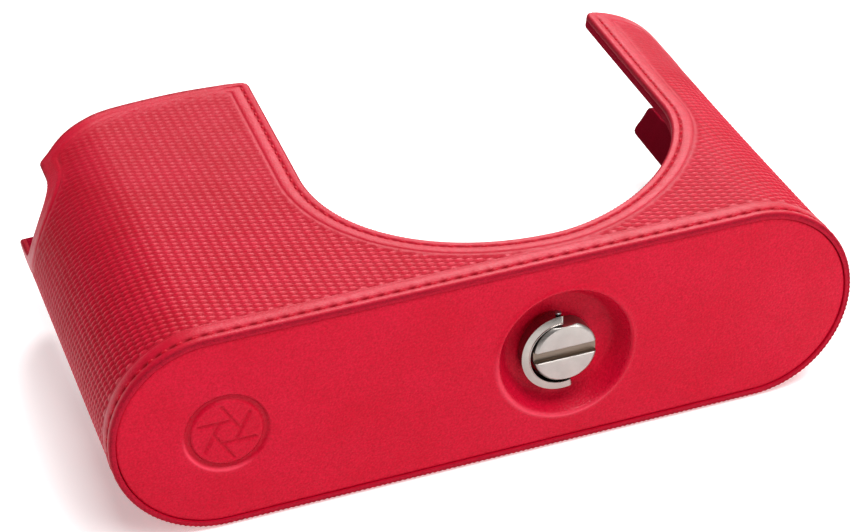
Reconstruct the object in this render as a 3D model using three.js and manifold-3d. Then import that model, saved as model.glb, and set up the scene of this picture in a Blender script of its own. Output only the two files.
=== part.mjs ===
// Leather half case for a compact camera, lying on its back wall, in millimetres.
// X runs along the case, Y from the base to the open top, Z up from the back wall to the front wall.
// Heights called y are measured from the rim of the base; the last group centres them on the origin.
import * as THREE from 'three';
import { mergeVertices } from 'three/addons/utils/BufferGeometryUtils.js';
import Module from 'manifold-3d';

// Driving dimensions
const LENGTH = 130;
const DEPTH = 36;
const HEIGHT = 85;
const END_RADIUS = DEPTH / 2;
const HALF_FLAT = LENGTH / 2 - END_RADIUS;
const END_SEGMENTS = 22;

// Wall sandwich, as distances in from the outer surface
const LEATHER = 1.1;
const GLUE = 0.1;
const LINING_IN = 2.8;
const BOARD = 0.45;
const FLANGE_TOP = 6.1;
const WALL_LINING_FOOT = 6.35;

// Lens opening in the front wall: a round-bottomed U, a little flatter at its lower right
const LENS = { x: 14.8, y: 43.2, left: 34, right: 33.8, down: 34.2, leftPower: 2.12, rightPower: 1.72 };
const LENS_LEAN = { left: 1.4, right: 2.7 };
const CORNER = 1.4;
const CREST_FALL = 0.18;

// Top edge of the front wall, left of the lens opening: x and y of its crest line
const LEFT_TOP = [[-61, 74.6], [-58, 77.4], [-54.3, 80], [-50, 81.9], [-43.9, 84], [-32, 85], [-22, 84.4]];
const LEFT_CORNER_TOP = 83.6;
const ARM_TOP = 85;

// Strap lug notches, in the end walls, each turned towards the front by an angle from the mid-plane
const NOTCH = { radius: 7.2, leftTurn: 23, rightTurn: 2, leftCentre: 71, rightCentre: 78.5 };

// Back opening: low wall in the middle, rising to an ear at each end
const EAR_X = 60;
const BACK = { top: 24, bend: 50, foot: 30, leftEar: 76.5, rightEar: 85 };

// Sewing: a thread in a groove that runs along the edge
const SEAM = { fromEdge: 1.65, thread: 0.5, groove: 1.0, sunk: 0.12, threadDeep: 0.42, grooveDeep: 0.5 };
const BASE_SEAM_Y = 1.7;
const LENS_SEAM_TOP = 82.4;
const BACK_SEAM_X = 62.5;

// Base sandwich, as heights from the rim
const BASE_FACE = 0.2;
const BASE_LEATHER_TOP = 1.4;
const BASE_BOARD = [1.5, 4.8];
const PLATE = [4.9, 5.6];
const BASE_LINING = [5.7, 6.2];
const PLATE_SIZE = { halfFlat: 12, radius: 11 };
const RIVET = { offset: 16.5, shank: 1.2, head: 2.1, room: 0.25, headTop: 2.1, play: 0.1, segments: 24 };

// Tripod screw and the dished recess around it
const SCREW = { x: 12.6, z: 17.8 };
const DISH = { rim: 11.8, floorRadius: 8.7, floor: 4, leather: 0.8 };
const DISH_LIP = { wide: 0.9, drop: 0.25 };
const DISH_FOOT = { wide: 0.8, rise: 0.3 };
const BOSS_SHIFT = 0.3;
const HEAD = { radius: 5.55, flat: 5.1, top: 0, bottom: 3.3, chamfer: 0.5, slotWide: 2, slotDeep: 1 };
const EYELET = { inner: 2.9, outer: 3.5, flange: 4.9, flangeThick: 0.15, sunk: 0.02, play: 0.05 };
const WASHER = { fromEdge: 0.4, play: 0.03 };
const NECK_RADIUS = 2.3;
const PLATE_HOLE = 2.6;
const THREAD = { radius: 3.15, root: 2.55, pitch: 1.27, crest: [0.45, 0.6], turns: 3, start: 7.65 };
const BAIL = { inner: 5.5, outer: 7.05, thick: 2.9, bevel: 0.3, pastFront: 0.6, pastBack: 1.7 };
const PIVOT = { x: SCREW.x - 0.7, y: 1.65, z: SCREW.z };
const PIN = { radius: 0.4, inEnd: 4.1, outEnd: 7.35, clearance: 0.08 };

// Emblem: a ring pressed into the base leather
const EMBLEM = { x: -45.7, z: 17.8, outer: 6.85, inner: 6.15, deep: 0.25 };

const wasm = await Module();
wasm.setup();

// Solids and meshes

function toSolid(geometry) {
  const bare = new THREE.BufferGeometry();
  bare.setAttribute('position', geometry.getAttribute('position').clone());
  bare.setIndex(geometry.getIndex());
  const merged = mergeVertices(bare, 1e-4);
  const corners = merged.getIndex().array;
  const kept = [];
  for (let i = 0; i < corners.length; i += 3) {
    const [a, b, c] = [corners[i], corners[i + 1], corners[i + 2]];
    if (a !== b && b !== c && c !== a) kept.push(a, b, c);
  }
  const vertProperties = new Float32Array(merged.getAttribute('position').array);
  return new wasm.Manifold(new wasm.Mesh({ numProp: 3, vertProperties, triVerts: new Uint32Array(kept) }));
}

function toGeometry(solid) {
  const { vertProperties, triVerts } = solid.getMesh();
  const geometry = new THREE.BufferGeometry();
  geometry.setAttribute('position', new THREE.BufferAttribute(vertProperties, 3));
  geometry.setIndex(new THREE.BufferAttribute(triVerts, 1));
  geometry.computeVertexNormals();
  return geometry;
}

// Stadium prism standing on the XZ plane, its outline a distance in from the case's own
function stadium(inset, y0, y1, halfFlat = HALF_FLAT, endRadius = END_RADIUS) {
  const r = endRadius - inset;
  const outline = new THREE.Shape();
  outline.moveTo(-halfFlat, -r);
  outline.lineTo(halfFlat, -r);
  outline.absarc(halfFlat, 0, r, -Math.PI / 2, Math.PI / 2, false);
  outline.lineTo(-halfFlat, r);
  outline.absarc(-halfFlat, 0, r, Math.PI / 2, Math.PI * 1.5, false);
  const geometry = new THREE.ExtrudeGeometry(outline, {
    depth: y1 - y0,
    bevelEnabled: false,
    curveSegments: END_SEGMENTS,
  });
  geometry.rotateX(-Math.PI / 2);
  geometry.translate(0, y0, END_RADIUS);
  return toSolid(geometry);
}

// Band of the wall between two distances in from its outer surface
function wallBand(outside, inside, y0, y1) {
  return stadium(outside, y0, y1).subtract(stadium(inside, y0 - 1, y1 + 1));
}

function frontPrism(outline, z0, z1, curveSegments = 12) {
  const geometry = new THREE.ExtrudeGeometry(outline, { depth: z1 - z0, bevelEnabled: false, curveSegments });
  geometry.translate(0, 0, z0);
  return toSolid(geometry);
}

function block(x0, x1, y0, y1, z0, z1) {
  const geometry = new THREE.BoxGeometry(x1 - x0, y1 - y0, z1 - z0);
  geometry.translate((x0 + x1) / 2, (y0 + y1) / 2, (z0 + z1) / 2);
  return toSolid(geometry);
}

// Solid of revolution about a line along Y; the profile lists radius and height
function turned(profile, centre = SCREW, segments = 36) {
  const points = profile.map(([radius, height]) => new THREE.Vector2(radius, height));
  const geometry = new THREE.LatheGeometry(points, segments);
  geometry.translate(centre.x, 0, centre.z);
  return toSolid(geometry);
}

function disc(radius, y0, y1, centre = SCREW, segments = 36) {
  return turned([[0, y0], [radius, y0], [radius, y1], [0, y1]], centre, segments);
}

// Outlines

// Edge of the lens opening, moved outwards by a distance, from its top right round to its top left
function lensEdge(out, topY) {
  const side = (reach, power, angle) => {
    const across = (reach + out) * Math.cos(angle) ** (2 / power);
    const down = (LENS.down + out) * Math.sin(angle) ** (2 / power);
    return [across, down];
  };
  const steps = 16;
  const points = [];
  const rise = (topY - LENS.y) / (HEIGHT - LENS.y);
  points.push(new THREE.Vector2(LENS.x + LENS.right + out + LENS_LEAN.right * rise, topY));
  for (let i = 0; i <= steps; i++) {
    const [across, down] = side(LENS.right, LENS.rightPower, (Math.PI / 2) * (i / steps));
    points.push(new THREE.Vector2(LENS.x + across, LENS.y - down));
  }
  for (let i = steps - 1; i >= 0; i--) {
    const [across, down] = side(LENS.left, LENS.leftPower, (Math.PI / 2) * (i / steps));
    points.push(new THREE.Vector2(LENS.x - across, LENS.y - down));
  }
  points.push(new THREE.Vector2(LENS.x - LENS.left - out + LENS_LEAN.left * rise, topY));
  return points;
}

// What is cut away from the front half of the wall: the lens opening and all above the top edge
function frontWaste(inset) {
  const beyond = LENGTH;
  const edge = lensEdge(inset, LEFT_CORNER_TOP - inset);
  const rightTop = edge[0].clone();
  const leftTop = edge[edge.length - 1].clone();
  rightTop.y = ARM_TOP - inset;
  const crest = LEFT_TOP.map(([x, y]) => new THREE.Vector2(x, y - inset));
  const crestLine = new THREE.SplineCurve(crest);
  const outline = new THREE.Shape();
  outline.moveTo(-beyond, beyond);
  outline.lineTo(-beyond, crest[0].y);
  crestLine.getPoints(14).forEach((p) => outline.lineTo(p.x, p.y));
  outline.lineTo(leftTop.x - CORNER, leftTop.y + CORNER * CREST_FALL);
  outline.quadraticCurveTo(leftTop.x, leftTop.y, leftTop.x, leftTop.y - CORNER);
  edge.slice(1, -1).reverse().forEach((p) => outline.lineTo(p.x, p.y));
  outline.lineTo(rightTop.x, rightTop.y - CORNER);
  outline.quadraticCurveTo(rightTop.x, rightTop.y, rightTop.x + CORNER, rightTop.y);
  outline.lineTo(beyond, rightTop.y);
  outline.lineTo(beyond, beyond);
  return frontPrism(outline, END_RADIUS, DEPTH + 5);
}

// What is cut away from the back half: the opening between the ears and all above them
function backWaste(inset) {
  const beyond = LENGTH;
  const x = EAR_X + inset;
  const floor = BACK.top - inset;
  const outline = new THREE.Shape();
  outline.moveTo(-beyond, beyond);
  outline.lineTo(-beyond, BACK.leftEar - inset);
  outline.lineTo(-x - CORNER, BACK.leftEar - inset);
  outline.quadraticCurveTo(-x, BACK.leftEar - inset, -x, BACK.leftEar - inset - CORNER);
  outline.lineTo(-x, BACK.bend);
  outline.quadraticCurveTo(-x, floor, -BACK.foot, floor);
  outline.lineTo(BACK.foot, floor);
  outline.quadraticCurveTo(x, floor, x, BACK.bend);
  outline.lineTo(x, BACK.rightEar - inset - CORNER);
  outline.quadraticCurveTo(x, BACK.rightEar - inset, x + CORNER, BACK.rightEar - inset);
  outline.lineTo(beyond, BACK.rightEar - inset);
  outline.lineTo(beyond, beyond);
  return frontPrism(outline, -5, END_RADIUS, 14);
}

function notchWaste(side, inset) {
  const centreY = side < 0 ? NOTCH.leftCentre : NOTCH.rightCentre;
  const turn = side < 0 ? NOTCH.leftTurn : NOTCH.rightTurn;
  const r = NOTCH.radius + inset;
  const outline = new THREE.Shape();
  outline.moveTo(r, LENGTH);
  outline.lineTo(-r, LENGTH);
  outline.lineTo(-r, centreY);
  outline.absarc(0, centreY, r, Math.PI, Math.PI * 2, false);
  const reach = 14;
  const settings = { depth: reach, bevelEnabled: false, curveSegments: 18 };
  const geometry = new THREE.ExtrudeGeometry(outline, settings);
  geometry.translate(0, 0, END_RADIUS - reach / 2);
  geometry.rotateY(side * THREE.MathUtils.degToRad(90 - turn));
  geometry.translate(side * HALF_FLAT, 0, END_RADIUS);
  return toSolid(geometry);
}

function trimmed(solid, inset) {
  const cuts = [frontWaste(inset), backWaste(inset), notchWaste(-1, inset), notchWaste(1, inset)];
  return cuts.reduce((rest, cut) => rest.subtract(cut), solid);
}

// Strip of the wall that follows the lens edge or the back edge
function lensStrip(near, far, top) {
  const strip = (out) => {
    const outline = new THREE.Shape(lensEdge(out, top));
    return frontPrism(outline, END_RADIUS, DEPTH + 5);
  };
  return strip(far).subtract(strip(near));
}

function backStrip(near, far) {
  const keep = block(-BACK_SEAM_X, BACK_SEAM_X, 0, HEIGHT, -1, END_RADIUS);
  return backWaste(far).subtract(backWaste(near)).intersect(keep);
}

function seam(strip, half, deep) {
  return strip(SEAM.fromEdge - half, SEAM.fromEdge + half).intersect(wallBand(deep[0], deep[1], 0, HEIGHT));
}

const lensSeam = (near, far) => lensStrip(near, far, LENS_SEAM_TOP);
const threadDeep = [SEAM.sunk, SEAM.threadDeep];
const grooveDeep = [-1, SEAM.grooveDeep];

// Wall pieces

function wallLeather() {
  const half = SEAM.groove / 2;
  const whole = trimmed(wallBand(0, LEATHER, 0, HEIGHT), 0);
  const baseGroove = wallBand(-1, SEAM.grooveDeep, BASE_SEAM_Y - half, BASE_SEAM_Y + half);
  const lensGroove = seam(lensSeam, half, grooveDeep);
  const backGroove = seam(backStrip, half, grooveDeep);
  return whole.subtract(baseGroove).subtract(lensGroove).subtract(backGroove);
}

const BOARD_OUTSIDE = LEATHER + GLUE;
const BOARD_ROOM = 0.3;
const FRONT_BOARD = { x0: -46, x1: 6, y0: 7.5, inset: 3 };
const BACK_BOARD = { x0: -46, x1: 46, y0: 7.5, inset: 3 };

// Stiffening boards lie in the flat parts of the wall only, so that the ends can bend
function frontBoard(room, z0, z1) {
  const { x0, x1, y0, inset } = FRONT_BOARD;
  const sheet = block(x0 - room, x1 + room, y0 - room, HEIGHT, z0, z1);
  return sheet.subtract(frontWaste(inset - room));
}

function backBoard(room, z0, z1) {
  const { x0, x1, y0, inset } = BACK_BOARD;
  const sheet = block(x0 - room, x1 + room, y0 - room, HEIGHT, z0, z1);
  return sheet.subtract(backWaste(inset - room));
}

function wallLining() {
  const whole = trimmed(wallBand(LEATHER + GLUE, LINING_IN, WALL_LINING_FOOT, HEIGHT), 0);
  const boardInside = BOARD_OUTSIDE + BOARD + GLUE;
  const frontPocket = frontBoard(BOARD_ROOM, DEPTH - boardInside, DEPTH);
  const backPocket = backBoard(BOARD_ROOM, 0, boardInside);
  return whole.subtract(frontPocket).subtract(backPocket);
}

// Base pieces

function baseLeather() {
  const side = LEATHER + GLUE;
  const shell = stadium(side, BASE_FACE, FLANGE_TOP).subtract(stadium(LINING_IN, BASE_LEATHER_TOP, HEIGHT));
  const { rim, floorRadius, floor, leather } = DISH;
  const middle = (rim + floorRadius) / 2;
  const slope = (from, to, shift) => [
    [rim + shift, from],
    [rim - DISH_LIP.wide + shift, from + DISH_LIP.drop],
    [middle + shift, (from + to) / 2],
    [floorRadius + DISH_FOOT.wide + shift, to - DISH_FOOT.rise],
    [floorRadius + shift, to],
  ];
  const bossTop = floor + leather;
  const bossFoot = (BASE_FACE + BASE_LEATHER_TOP) / 2;
  const outer = slope(BASE_LEATHER_TOP, bossTop, BOSS_SHIFT);
  const boss = turned([[0, bossFoot], [outer[0][0], bossFoot], ...outer, [0, bossTop]]);
  const dish = turned([[0, -1], [rim, -1], ...slope(BASE_FACE, floor, 0), [0, floor]]);
  const emblem = disc(EMBLEM.outer, -1, BASE_FACE + EMBLEM.deep, EMBLEM)
    .subtract(disc(EMBLEM.inner, -2, 1, EMBLEM));
  const hole = disc(EYELET.outer + 0.1, -1, HEIGHT);
  return shell.add(boss).subtract(dish).subtract(emblem).subtract(hole);
}

function rivetCentres() {
  return [-1, 1].map((side) => ({ x: SCREW.x + side * RIVET.offset, z: SCREW.z }));
}

function baseBoard() {
  const bossHole = disc(DISH.rim + BOSS_SHIFT + GLUE, -1, HEIGHT);
  const sheet = stadium(LINING_IN + GLUE, ...BASE_BOARD).subtract(bossHole);
  return rivetCentres().reduce((rest, at) => rest
    .subtract(disc(RIVET.shank + RIVET.room, -1, HEIGHT, at, RIVET.segments))
    .subtract(disc(RIVET.head + RIVET.room, -1, RIVET.headTop + RIVET.play, at, RIVET.segments)), sheet);
}

function plateBlank(grow, y0, y1) {
  const blank = stadium(-grow, y0, y1, PLATE_SIZE.halfFlat, PLATE_SIZE.radius);
  return blank.translate([SCREW.x, 0, SCREW.z - END_RADIUS]);
}

function screwPlate() {
  const blank = plateBlank(0, ...PLATE).subtract(disc(PLATE_HOLE, -1, HEIGHT));
  return rivetCentres().reduce((rest, at) => rest
    .subtract(disc(RIVET.shank + RIVET.room, -1, HEIGHT, at, RIVET.segments)), blank);
}

function basePad() {
  return stadium(LINING_IN + GLUE, ...PLATE).subtract(plateBlank(0.3, 0, HEIGHT));
}

function baseLining() {
  return stadium(LINING_IN + GLUE, ...BASE_LINING).subtract(disc(THREAD.radius + 0.6, -1, HEIGHT));
}

function rivet(at) {
  const foot = BASE_BOARD[0] + 0.05;
  const { shank, head, headTop, segments } = RIVET;
  const top = PLATE[1];
  const profile = [[0, foot], [head, foot], [head, headTop], [shank, headTop], [shank, top], [0, top]];
  return turned(profile, at, segments);
}

// Tripod screw, its eyelet and its folding bail

function eyelet() {
  const { inner, outer, flange, flangeThick, sunk, play } = EYELET;
  const y1 = DISH.floor - sunk;
  const y0 = y1 - flangeThick;
  const top = PLATE[0] - play;
  const profile = [[flange, y0], [flange, y1], [outer, y1], [outer, top], [inner, top]];
  return turned([[inner, y0], ...profile, [inner, y0]]);
}

function washer() {
  const y0 = HEAD.bottom + WASHER.play;
  const y1 = DISH.floor - EYELET.sunk - EYELET.flangeThick - WASHER.play;
  const inner = NECK_RADIUS + GLUE;
  const outer = HEAD.flat - WASHER.fromEdge;
  return turned([[inner, y0], [outer, y0], [outer, y1], [inner, y1], [inner, y0]]);
}

function tripodScrew() {
  const { radius, root, pitch, crest, turns, start } = THREAD;
  const ridges = [];
  for (let i = 0; i < turns; i++) {
    const foot = start + i * pitch;
    ridges.push([root, foot], ...crest.map((share) => [radius, foot + pitch * share]));
  }
  const tip = start + turns * pitch;
  const { flat, top, bottom, chamfer, slotWide, slotDeep } = HEAD;
  const body = turned([[0, top], [HEAD.radius - chamfer, top], [HEAD.radius, top + chamfer],
    [HEAD.radius, bottom], [NECK_RADIUS, bottom], [NECK_RADIUS, start], ...ridges, [root, tip], [0, tip]]);
  const x0 = SCREW.x - HEAD.radius - 1;
  const x1 = SCREW.x + HEAD.radius + 1;
  const slot = block(x0, x1, -1, top + slotDeep, SCREW.z - slotWide / 2, SCREW.z + slotWide / 2);
  const between = block(x0, x1, -1, tip + 1, SCREW.z - flat, SCREW.z + flat);
  const bores = [-1, 1].map((side) => pinSolid(side, PIN.radius + PIN.clearance, PIN.inEnd - PIN.clearance));
  return body.intersect(between).subtract(slot).subtract(bores[0]).subtract(bores[1]);
}

// Round bar along Z through the bail's pivot line, on one side of the head
function pinSolid(side, radius, inEnd) {
  const length = PIN.outEnd - inEnd;
  const geometry = new THREE.CylinderGeometry(radius, radius, length, 16);
  geometry.rotateX(Math.PI / 2);
  geometry.translate(PIVOT.x, PIVOT.y, PIVOT.z + side * (inEnd + length / 2));
  return toSolid(geometry);
}

// C-shaped bail, folded flat round the left half of the head; its front end stops sooner past the pins
function bail() {
  const { inner, outer, thick, bevel, pastFront, pastBack } = BAIL;
  const y0 = PIVOT.y - thick / 2;
  const y1 = PIVOT.y + thick / 2;
  const ring = turned([[inner, y0], [outer - bevel, y0], [outer, y0 + bevel], [outer, y1 - bevel],
    [outer - bevel, y1], [inner, y1], [inner, y0]], PIVOT, 48);
  const openFront = block(PIVOT.x + pastFront, PIVOT.x + outer * 2, -5, 10, PIVOT.z, DEPTH);
  const openBack = block(PIVOT.x + pastBack, PIVOT.x + outer * 2, -5, 10, 0, PIVOT.z + 1);
  const holes = [-1, 1].map((side) => pinSolid(side, PIN.radius + PIN.clearance, PIN.inEnd));
  const through = holes.map((hole, i) => hole.translate([0, 0, i * 2 - 1]));
  return ring.subtract(openFront).subtract(openBack).subtract(through[0]).subtract(through[1]);
}

// Materials
const RED = { color: 0xc8142f, roughness: 0.5, metalness: 0 };
const SMOOTH_RED = { color: 0xcf1935, roughness: 0.42, metalness: 0 };
const LINING_RED = { color: 0x7a0a1c, roughness: 0.9, metalness: 0 };
const THREAD_RED = { color: 0xa80c22, roughness: 0.7, metalness: 0 };
const GREY_BOARD = { color: 0x8d8375, roughness: 0.9, metalness: 0 };
const STEEL = { color: 0x9a9c9f, roughness: 0.45, metalness: 1 };
const NICKEL = { color: 0xc9c7c3, roughness: 0.3, metalness: 1 };
const BRASS = { color: 0xb08a45, roughness: 0.4, metalness: 1 };
const NYLON = { color: 0x2a2a2c, roughness: 0.6, metalness: 0 };

const frontBoardZ = [DEPTH - BOARD_OUTSIDE - BOARD, DEPTH - BOARD_OUTSIDE];
const backBoardZ = [BOARD_OUTSIDE, BOARD_OUTSIDE + BOARD];
const halfThread = SEAM.thread / 2;
const baseThread = wallBand(...threadDeep, BASE_SEAM_Y - halfThread, BASE_SEAM_Y + halfThread);
const [leftRivet, rightRivet] = rivetCentres().map(rivet);

const pieces = [
  ['wall_leather', wallLeather(), RED],
  ['wall_lining', wallLining(), LINING_RED],
  ['front_stiffener', frontBoard(0, ...frontBoardZ), GREY_BOARD],
  ['back_stiffener', backBoard(0, ...backBoardZ), GREY_BOARD],
  ['base_leather', baseLeather(), SMOOTH_RED],
  ['base_board', baseBoard(), GREY_BOARD],
  ['base_pad', basePad(), GREY_BOARD],
  ['base_lining', baseLining(), LINING_RED],
  ['screw_plate', screwPlate(), STEEL],
  ['plate_rivet_left', leftRivet, STEEL],
  ['plate_rivet_right', rightRivet, STEEL],
  ['base_seam_thread', baseThread, THREAD_RED],
  ['lens_edge_thread', seam(lensSeam, halfThread, threadDeep), THREAD_RED],
  ['back_edge_thread', seam(backStrip, halfThread, threadDeep), THREAD_RED],
  ['screw_eyelet', eyelet(), BRASS],
  ['screw_washer', washer(), NYLON],
  ['tripod_screw', tripodScrew(), NICKEL],
  ['bail_pin_front', pinSolid(1, PIN.radius, PIN.inEnd), STEEL],
  ['bail_pin_back', pinSolid(-1, PIN.radius, PIN.inEnd), STEEL],
  ['screw_bail', bail(), NICKEL],
];

const halfCase = new THREE.Group();
for (const [name, solid, look] of pieces) {
  const mesh = new THREE.Mesh(toGeometry(solid), new THREE.MeshStandardMaterial(look));
  mesh.name = name;
  halfCase.add(mesh);
}
halfCase.position.y = -HEIGHT / 2;

const part = new THREE.Group();
part.add(halfCase);
part.updateMatrixWorld(true);

export default part;
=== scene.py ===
"""Looks of a leather half case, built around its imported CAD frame.

Metres, +Z up, the case on its back wall: X along the case, Y from the base to the open top.
Lengths in the tables below are millimetres; "y" is then the height above the rim of the base.
"""
import math

import bmesh
import bpy
import numpy as np
from mathutils import Matrix, Vector
from mathutils.geometry import delaunay_2d_cdt


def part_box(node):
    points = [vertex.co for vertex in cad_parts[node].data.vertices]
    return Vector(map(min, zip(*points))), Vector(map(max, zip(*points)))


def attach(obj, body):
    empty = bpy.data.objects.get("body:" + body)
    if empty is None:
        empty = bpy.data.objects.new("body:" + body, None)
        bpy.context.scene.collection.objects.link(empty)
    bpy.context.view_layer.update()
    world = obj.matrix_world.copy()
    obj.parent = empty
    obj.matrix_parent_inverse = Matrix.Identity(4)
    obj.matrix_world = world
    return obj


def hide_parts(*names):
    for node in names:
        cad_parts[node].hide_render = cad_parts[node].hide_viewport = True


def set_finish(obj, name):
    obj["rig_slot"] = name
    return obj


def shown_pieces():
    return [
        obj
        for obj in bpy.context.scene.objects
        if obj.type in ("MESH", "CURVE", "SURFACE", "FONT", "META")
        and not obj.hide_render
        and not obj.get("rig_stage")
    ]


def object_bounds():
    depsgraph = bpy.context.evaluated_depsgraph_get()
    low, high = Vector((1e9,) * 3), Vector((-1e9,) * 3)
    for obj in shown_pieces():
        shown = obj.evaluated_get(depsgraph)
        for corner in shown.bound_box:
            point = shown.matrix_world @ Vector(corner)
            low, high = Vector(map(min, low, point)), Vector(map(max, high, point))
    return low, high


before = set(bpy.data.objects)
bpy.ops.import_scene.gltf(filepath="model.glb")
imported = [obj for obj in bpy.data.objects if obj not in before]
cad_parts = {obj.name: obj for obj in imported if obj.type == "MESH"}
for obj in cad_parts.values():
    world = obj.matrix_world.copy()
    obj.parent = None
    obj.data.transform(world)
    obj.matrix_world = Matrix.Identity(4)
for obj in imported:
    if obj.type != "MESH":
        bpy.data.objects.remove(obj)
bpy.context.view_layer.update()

MM = 0.001

# The case's size, from the frame
WALL_LOW, WALL_HIGH = (np.array(corner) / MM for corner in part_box("wall_leather"))
LENGTH, HEIGHT, DEPTH = WALL_HIGH - WALL_LOW
BASE_Y = WALL_LOW[1]
END_R = DEPTH / 2
HALF_FLAT = LENGTH / 2 - END_R
END_ARC = math.pi * END_R
AROUND = 4 * HALF_FLAT + 2 * END_ARC
LEAN = 3.0

# Wall sandwich, in from the outer surface
LEATHER = 1.1
LINING_OUT = 1.16
LINING_IN = 2.8
LINING_FOOT = 6.35
EDGE_ROUND = 0.5
FOOT_ROUND = 0.35

# Edges of the wall
LENS = dict(x=14.8, y=43.2, left=34.0, right=33.8, down=34.2, left_power=2.12, right_power=1.72)
LENS_LEAN = dict(left=1.4, right=2.0)
LEFT_TOP = [(-58, 77.4), (-54.3, 80), (-50, 81.9), (-43.9, 84), (-32, 85), (-22, 84.4)]
LEFT_CORNER_TOP = 83.6
ARM_TOP = 85.0
NOTCH = dict(radius=7.2, left_turn=23.0, right_turn=2.0, left=71.0, right=78.5)
EAR_X = 60.0
BACK = dict(top=24.0, bend=50.0, foot=30.0, left_ear=76.5, right_ear=85.0)

# Surface detail
SEAM_IN = 1.65
BASE_SEAM_Y = 1.7
STITCH = 2.65
CREASE = 3.9
BASE_CREASE = 4.3
PRESSED = dict(band=0.07, seam=0.22, pit=0.22, crease=0.09)
ARM_FADE = (52, 64)
LEFT_FADE = (15, 70)
PILLOW_X = AROUND / round(AROUND / 3.1)
PILLOW_Y = 1.3
PILLOW_DEEP = 0.46
PILLOW_LONG = 0.91
PILLOW_WIDE = 0.6


def box(name):
    """Corners of a CAD node's box in millimetres, with Y above the rim of the base."""
    low, high = (np.array(corner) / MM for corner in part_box(name))
    return low - (0, BASE_Y, 0), high - (0, BASE_Y, 0)


def levels(name):
    """The lowest and highest Y of a CAD node."""
    return [corner[1] for corner in box(name)]


def place(points):
    """Points in metres, in the frame, from millimetres with Y above the rim of the base."""
    return (np.asarray(points) + (0, BASE_Y, 0)) * MM


# ---------- unrolled wall

def s_of(x, back=False):
    """Distance along the wall, from the middle of the back round the left end, of a point at x."""
    over = abs(x) - HALF_FLAT
    if over <= 0:
        front = HALF_FLAT + END_ARC + HALF_FLAT + x
        behind = -x if x <= 0 else AROUND - x
        return behind if back else front
    turn = math.asin(min(over / END_R, 1.0))
    if x < 0:
        return HALF_FLAT + END_R * (turn if back else math.pi - turn)
    return 3 * HALF_FLAT + END_ARC + END_R * (math.pi - turn if back else turn)


def lean(y):
    """How far the right end stands out at a height."""
    return LEAN * (np.clip(y, 0, None) / HEIGHT) ** 1.5


def wall_xyz(s, y, out):
    """Points of the wall, in metres, from unrolled coordinates and a distance out from its surface."""
    s = np.asarray(s, float)
    y = np.asarray(y, float)
    left = np.clip((s - HALF_FLAT) / END_R, 0, math.pi)
    right = np.clip((s - 3 * HALF_FLAT - END_ARC) / END_R, 0, math.pi)
    front = np.clip(s - HALF_FLAT - END_ARC, 0, 2 * HALF_FLAT)
    behind = np.minimum(s, HALF_FLAT) + np.maximum(s - 3 * HALF_FLAT - 2 * END_ARC, 0)
    nx = np.sin(right) - np.sin(left)
    on_right = s > 2 * HALF_FLAT + END_ARC
    nz = np.where(on_right, np.cos(right), -np.cos(left))
    x = -behind + front + nx * (END_R + out)
    z = END_R + nz * (END_R + out)
    x = x + np.maximum(nx, 0) * lean(y)
    return np.stack([x * MM, (y + BASE_Y) * MM, z * MM], axis=-1)


def bezier(p0, p1, p2, n):
    t = np.linspace(0, 1, n)[:, None]
    p0, p1, p2 = (np.array(p, float) for p in (p0, p1, p2))
    return (1 - t) ** 2 * p0 + 2 * t * (1 - t) * p1 + t ** 2 * p2


def smooth_line(points, n):
    """Catmull-Rom curve through points."""
    p = np.array(points, float)
    p = np.vstack([2 * p[0] - p[1], p, 2 * p[-1] - p[-2]])
    rows = []
    for i in range(1, len(p) - 2):
        t = np.linspace(0, 1, n, endpoint=False)[:, None]
        a, b, c, d = p[i - 1:i + 3]
        rows.append(0.5 * (2 * b + (c - a) * t + (2 * a - 5 * b + 4 * c - d) * t ** 2
                           + (3 * b - a - 3 * c + d) * t ** 3))
    rows.append(p[-2:-1])
    return np.vstack(rows)


def rounded(points, radius, steps=6):
    """The same line with its inner corners rounded."""
    p = np.array(points, float)
    rows = [p[:1]]
    for before, corner, after in zip(p[:-2], p[1:-1], p[2:]):
        a = corner + (before - corner) * min(radius / np.linalg.norm(before - corner), 0.5)
        b = corner + (after - corner) * min(radius / np.linalg.norm(after - corner), 0.5)
        rows.append(bezier(a, corner, b, steps))
    rows.append(p[-1:])
    return np.vstack(rows)


def even(line, step):
    """The line resampled at an even step, ends kept."""
    line = np.asarray(line, float)
    run = np.r_[0, np.cumsum(np.linalg.norm(np.diff(line, axis=0), axis=1))]
    n = max(2, int(round(run[-1] / step)) + 1)
    at = np.linspace(0, run[-1], n)
    return np.c_[np.interp(at, run, line[:, 0]), np.interp(at, run, line[:, 1])]


def lens_line():
    """Edge of the lens opening, from its top right down and round to its top left."""
    def quarter(reach, power, side):
        a = np.linspace(0, math.pi / 2, 40)
        x = LENS["x"] + side * reach * np.cos(a) ** (2 / power)
        y = LENS["y"] - LENS["down"] * np.sin(a) ** (2 / power)
        return np.c_[x, y]
    right = quarter(LENS["right"], LENS["right_power"], 1)
    left = quarter(LENS["left"], LENS["left_power"], -1)[::-1]
    right_top = (right[0, 0] + LENS_LEAN["right"], ARM_TOP)
    left_top = (left[-1, 0] + LENS_LEAN["left"], LEFT_CORNER_TOP)
    line = np.vstack([[right_top], right, left[1:], [left_top]])
    line[:, 0] -= lean(line[:, 1]) * np.clip(line[:, 0] - HALF_FLAT, 0, None) / END_R
    return np.array([(s_of(x), y) for x, y in line])


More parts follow.
